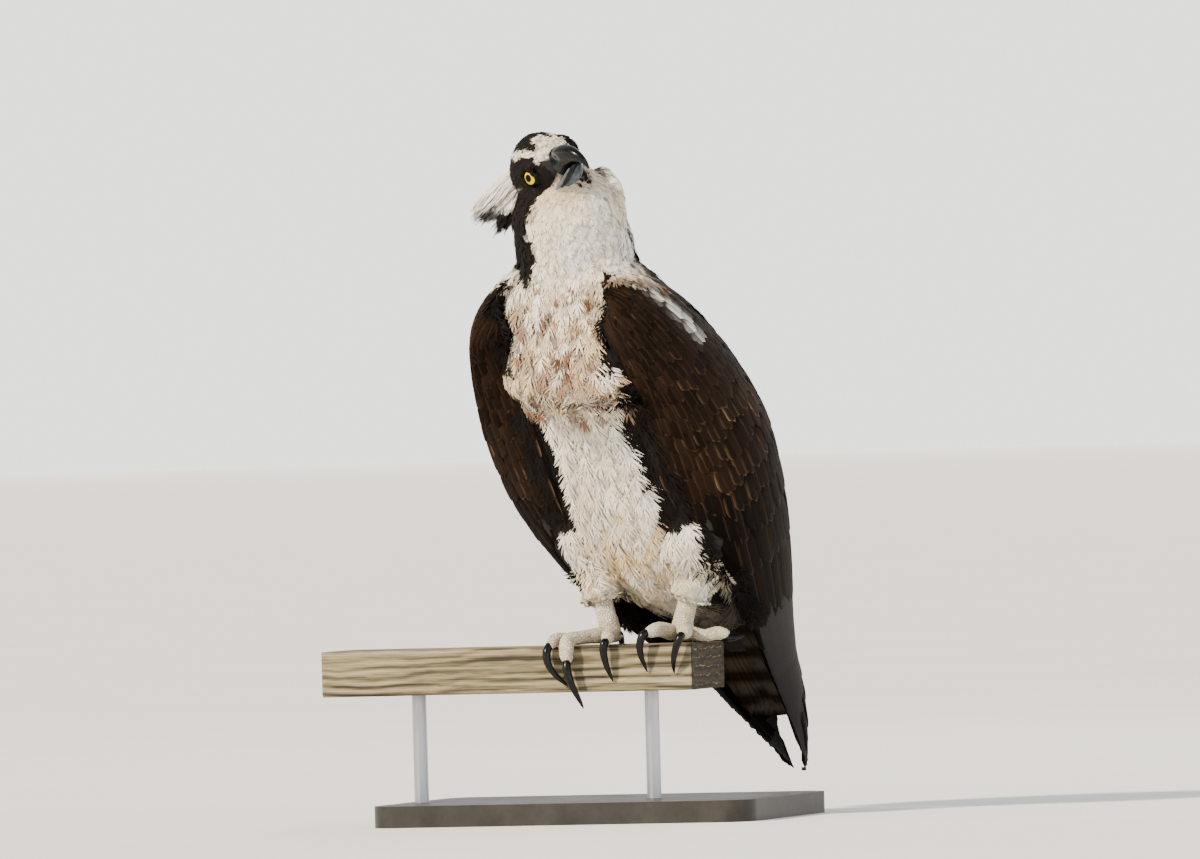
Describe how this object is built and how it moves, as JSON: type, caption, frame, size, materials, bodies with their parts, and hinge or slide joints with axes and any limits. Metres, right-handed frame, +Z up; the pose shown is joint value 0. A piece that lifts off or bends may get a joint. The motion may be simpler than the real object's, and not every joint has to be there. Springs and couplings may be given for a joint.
{
  "type": "osprey",
  "caption": "Life-size osprey standing on a short timber rail, wings folded, head turned to its left and cocked, gripping the front edge; on a flat display stand",
  "frame": {"origin": "centre of the display stand's flat underside, where it rests on the floor", "axes": "+Z up; the bird's chest and feet face -Y, its left side is +X; the rail is turned 12.5 degrees about Z"},
  "size_m": [0.3969, 0.4055, 0.5697],
  "materials": {
    "white_plumage": "soft matte feathers, cream white",
    "head_plumage": "soft matte feathers, white with a dark brown eye stripe",
    "brown_plumage": "slightly silky flight feathers, dark brown",
    "foot_skin": "scaly skin, pale grey cream",
    "horn": "polished black horn",
    "eye": "clear glossy eye, yellow iris",
    "weathered_timber": "rough weathered softwood",
    "stand_base": "dark satin painted board",
    "stand_rod": "brushed steel"
  },
  "bodies": {
    "root": {"torso": "white_plumage", "neck": "white_plumage", "head": "head_plumage", "eye_left": "eye", "eye_right": "eye", "bill_upper": "horn", "bill_lower": "horn", "wing_left": "brown_plumage", "thigh_left": "white_plumage", "tarsus_left": "foot_skin", "foot_left": "foot_skin", "wing_right": "brown_plumage", "thigh_right": "white_plumage", "tarsus_right": "foot_skin", "foot_right": "foot_skin", "claw_right_inner": "horn", "claw_right_middle": "horn", "claw_right_outer": "horn", "claw_right_hind": "horn", "claw_left_inner": "horn", "claw_left_middle": "horn", "claw_left_outer": "horn", "claw_left_hind": "horn", "tail": "brown_plumage", "perch_rail": "weathered_timber", "stand_base": "stand_base", "stand_rod_left": "stand_rod", "stand_rod_right": "stand_rod"}
  },
  "joints": []
}
